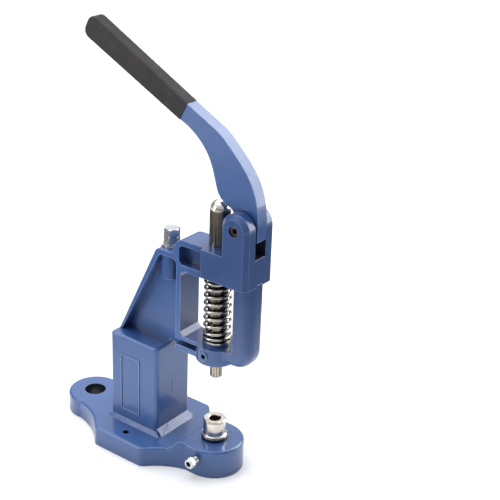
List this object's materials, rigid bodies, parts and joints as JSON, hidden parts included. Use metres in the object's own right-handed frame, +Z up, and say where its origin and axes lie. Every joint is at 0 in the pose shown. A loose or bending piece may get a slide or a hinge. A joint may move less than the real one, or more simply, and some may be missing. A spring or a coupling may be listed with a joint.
{
  "type": "cam-lever hand press",
  "caption": "Bench hand press: a cast frame with a spring-returned round ram, pushed down by a cam lever with a grip, over a die holder in the base.",
  "frame": {"origin": "on the ram's axis, at the underside of the base below the die holder", "axes": "+Z up along the ram, +Y to the rear (the side the handle points to and the ear with the bench bolt hole), +X to the right seen from the front"},
  "size_m": [0.1, 0.2198, 0.3937],
  "materials": {
    "blue_enamel": "glossy slate-blue enamel on a casting",
    "nickel_plate": "polished nickel plate",
    "zinc_plate": "bright zinc plate",
    "black_steel": "black oxide",
    "black_grip": "matt black",
    "black_rubber": "matt black"
  },
  "bodies": {
    "press_frame": {"frame_casting": "blue_enamel", "pivot_pin": "black_steel", "lever_side_washers": "zinc_plate", "spring_washer": "nickel_plate", "return_spring": "nickel_plate", "ram_key_screw": "black_steel", "stop_washer": "zinc_plate", "holder_ring": "black_rubber"},
    "lever": {"lever_arm": "blue_enamel", "grip_sleeve": "black_grip"},
    "ram": {"ram": "nickel_plate", "spring_collar": "nickel_plate", "collar_pin": "black_steel"},
    "stop_bolt": {"stop_bolt": "zinc_plate"},
    "lock_nut": {"stop_lock_nut": "zinc_plate"},
    "die_holder": {"die_holder": "nickel_plate"},
    "clamp_screw": {"die_clamp_screw": "zinc_plate"}
  },
  "joints": [
    {"name": "ram_slide", "type": "slide", "parent": "press_frame", "child": "ram", "axis": [0, 0, -1], "range_m": [0, 0.0313], "stiffness_N_per_m": 300, "springref_m": -0.02, "deforming": ["return_spring"]},
    {"name": "lever_pivot", "type": "hinge", "parent": "press_frame", "child": "lever", "pos_m": [0, -0.0288, 0.2466], "axis": [-1, 0, 0], "range_deg": [0, 66], "stiffness_Nm_per_rad": 1.2, "springref_deg": -40.11},
    {"name": "stop_bolt_height", "type": "slide", "parent": "press_frame", "child": "stop_bolt", "axis": [0, 0, 1], "range_m": [0, 0.002]},
    {"name": "lock_nut_turn", "type": "hinge", "parent": "press_frame", "child": "lock_nut", "pos_m": [0, 0.053, 0.209], "axis": [0, 0, 1], "range_deg": [-180, 180]},
    {"name": "die_holder_lift", "type": "slide", "parent": "press_frame", "child": "die_holder", "axis": [0, 0, 1], "range_m": [0, 0.012]},
    {"name": "clamp_screw_out", "type": "slide", "parent": "press_frame", "child": "clamp_screw", "axis": [-1, 0, 0], "range_m": [0, 0.006]}
  ],
  "couplings": [
    {"joint": "ram_slide", "follows": "lever_pivot", "m_per_rad": 0.027}
  ]
}
